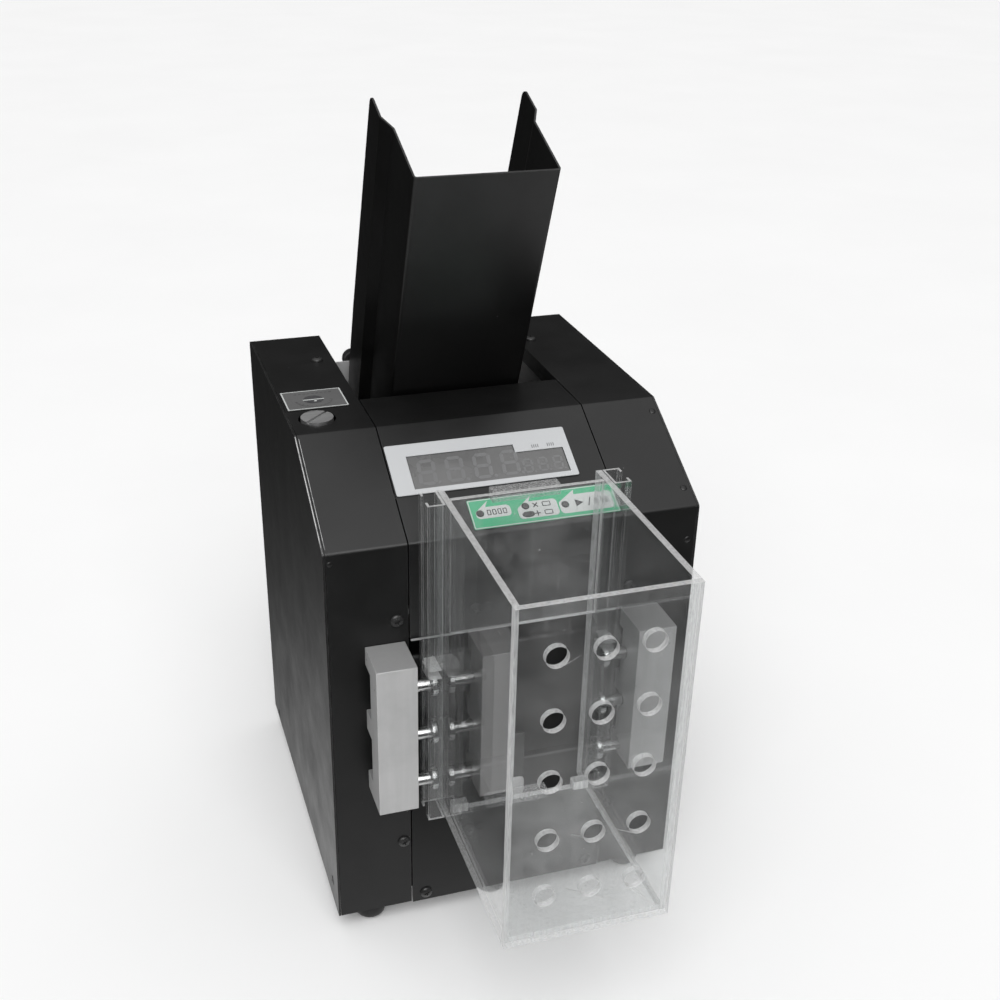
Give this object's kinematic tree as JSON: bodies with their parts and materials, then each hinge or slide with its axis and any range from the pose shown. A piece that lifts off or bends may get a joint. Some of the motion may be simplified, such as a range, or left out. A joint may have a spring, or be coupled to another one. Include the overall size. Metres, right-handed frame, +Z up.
{
  "type": "card counting and dealing machine",
  "caption": "Table-top card counter and dealer: black steel cabinet, leaning open card hopper, sloped display and keys, clear perforated receiving box on two metal blocks.",
  "frame": {"origin": "on the surface the feet stand on, under the middle of the whole machine's width and depth", "axes": "+Z up, +X to the right seen from the front, the front and its receiving box face -Y"},
  "size_m": [0.25, 0.4238, 0.5448],
  "materials": {
    "black_coat": "satin black powder coat",
    "grey_coat": "light grey coat",
    "zinc_steel": "zinc plated sheet",
    "block_aluminium": "matt machined",
    "bright_steel": "bright turned steel",
    "clear_acrylic": "clear glued sheet with pale edges",
    "black_rubber": "matt",
    "roller_rubber": "ground feed rubber",
    "bezel_grey": "pale grey printed film",
    "window_grey": "smoked window",
    "label_green": "green printed film",
    "key_grey": "moulded key caps",
    "board_green": "circuit board",
    "black_plastic": "fine moulded grain"
  },
  "bodies": {
    "cabinet": {"left_side_cover": "black_coat", "right_side_cover": "black_coat", "left_side_panel": "black_coat", "right_side_panel": "black_coat", "base_plate": "zinc_steel", "front_centre_cover": "black_coat", "lower_front_plate": "black_coat", "rear_panel": "grey_coat", "front_left_foot": "black_rubber", "rear_left_foot": "black_rubber", "front_right_foot": "black_rubber", "rear_right_foot": "black_rubber", "left_frame_plate": "zinc_steel", "right_frame_plate": "zinc_steel", "card_deck": "black_coat", "card_sensor": "black_plastic", "display_bezel": "bezel_grey", "display_window": "window_grey", "display_board": "board_green", "keypad_label": "label_green", "dial_plate": "block_aluminium", "drive_motor": "black_coat", "drive_belt": "black_rubber", "power_supply": "board_green", "power_inlet": "black_plastic", "left_mount_block": "block_aluminium", "right_mount_block": "block_aluminium", "left_rail_screw_1": "bright_steel", "left_rail_screw_2": "bright_steel", "left_rail_screw_3": "bright_steel", "right_rail_screw_1": "bright_steel", "right_rail_screw_2": "bright_steel", "right_rail_screw_3": "bright_steel"},
    "card_box": {"box_front_wall": "clear_acrylic", "box_left_wall": "clear_acrylic", "box_right_wall": "clear_acrylic", "box_floor": "clear_acrylic", "box_left_rail": "clear_acrylic", "box_right_rail": "clear_acrylic", "box_rear_wall": "clear_acrylic", "box_handle": "clear_acrylic", "box_rear_bar": "clear_acrylic"},
    "hopper": {"hopper_channel": "black_coat", "hopper_bracket": "black_coat"},
    "hopper_knob_left": {"hopper_knob_left": "black_plastic"},
    "hopper_knob_right": {"hopper_knob_right": "black_plastic"},
    "batch_button": {"batch_button": "key_grey"},
    "clear_button": {"clear_button": "key_grey"},
    "add_button": {"add_button": "key_grey"},
    "start_button": {"start_button": "key_grey"},
    "gap_screw": {"gap_screw": "bright_steel"},
    "gap_lever": {"gap_lever": "zinc_steel", "retard_roller": "roller_rubber"},
    "feed_shaft": {"feed_shaft": "bright_steel", "feed_roller": "roller_rubber"},
    "motor_shaft": {"motor_pulley": "bright_steel"},
    "exit_shaft": {"exit_shaft": "bright_steel", "exit_roller": "roller_rubber"},
    "exit_idler": {"exit_idler": "block_aluminium"},
    "power_switch": {"power_switch": "black_plastic"}
  },
  "joints": [
    {"name": "box_lift", "type": "slide", "parent": "cabinet", "child": "card_box", "axis": [0, 0, 1], "range_m": [0, 0.13]},
    {"name": "hopper_lift", "type": "slide", "parent": "cabinet", "child": "hopper", "axis": [0, 0, 1], "range_m": [0, 0.11]},
    {"name": "knob_left_turn", "type": "hinge", "parent": "hopper", "child": "hopper_knob_left", "pos_m": [-0.045, 0.20685, 0.328], "axis": [0, 1, 0], "range_deg": [0, 540]},
    {"name": "knob_right_turn", "type": "hinge", "parent": "hopper", "child": "hopper_knob_right", "pos_m": [0.042, 0.20685, 0.328], "axis": [0, 1, 0], "range_deg": [0, 540]},
    {"name": "batch_press", "type": "slide", "parent": "cabinet", "child": "batch_button", "axis": [0, 0.485, -0.8745], "range_m": [0, 0.0008], "stiffness_N_per_m": 600},
    {"name": "clear_press", "type": "slide", "parent": "cabinet", "child": "clear_button", "axis": [0, 0.485, -0.8745], "range_m": [0, 0.0008], "stiffness_N_per_m": 600},
    {"name": "add_press", "type": "slide", "parent": "cabinet", "child": "add_button", "axis": [0, 0.485, -0.8745], "range_m": [0, 0.0008], "stiffness_N_per_m": 600},
    {"name": "start_press", "type": "slide", "parent": "cabinet", "child": "start_button", "axis": [0, 0.485, -0.8745], "range_m": [0, 0.0008], "stiffness_N_per_m": 600},
    {"name": "gap_screw_turn", "type": "hinge", "parent": "cabinet", "child": "gap_screw", "pos_m": [-0.1052, 0.03855, 0.352], "axis": [0, 0, 1], "range_deg": [0, 360]},
    {"name": "gap_lever_lift", "type": "slide", "parent": "cabinet", "child": "gap_lever", "axis": [0, 0, 1], "range_m": [0, 0.001]},
    {"name": "feed_spin", "type": "hinge", "parent": "cabinet", "child": "feed_shaft", "pos_m": [0, 0.10576, 0.24093], "axis": [1, 0, 0], "continuous": true},
    {"name": "motor_spin", "type": "hinge", "parent": "cabinet", "child": "motor_shaft", "pos_m": [-0.08, 0.08785, 0.092], "axis": [1, 0, 0], "continuous": true},
    {"name": "exit_spin", "type": "hinge", "parent": "cabinet", "child": "exit_shaft", "pos_m": [0, -0.00483, 0.2051], "axis": [1, 0, 0], "continuous": true},
    {"name": "exit_idler_spin", "type": "hinge", "parent": "cabinet", "child": "exit_idler", "pos_m": [0, -0.01389, 0.22786], "axis": [1, 0, 0], "continuous": true},
    {"name": "power_rock", "type": "hinge", "parent": "cabinet", "child": "power_switch", "pos_m": [0.024, 0.19585, 0.062], "axis": [1, 0, 0], "range_deg": [0, 10]}
  ],
  "couplings": [
    {"joint": "motor_spin", "follows": "feed_spin", "ratio": 1.8},
    {"joint": "exit_spin", "follows": "feed_spin", "ratio": 1.5},
    {"joint": "exit_idler_spin", "follows": "feed_spin", "ratio": -2.1},
    {"joint": "gap_screw_turn", "follows": "gap_lever_lift", "rad_per_m": 6283}
  ]
}
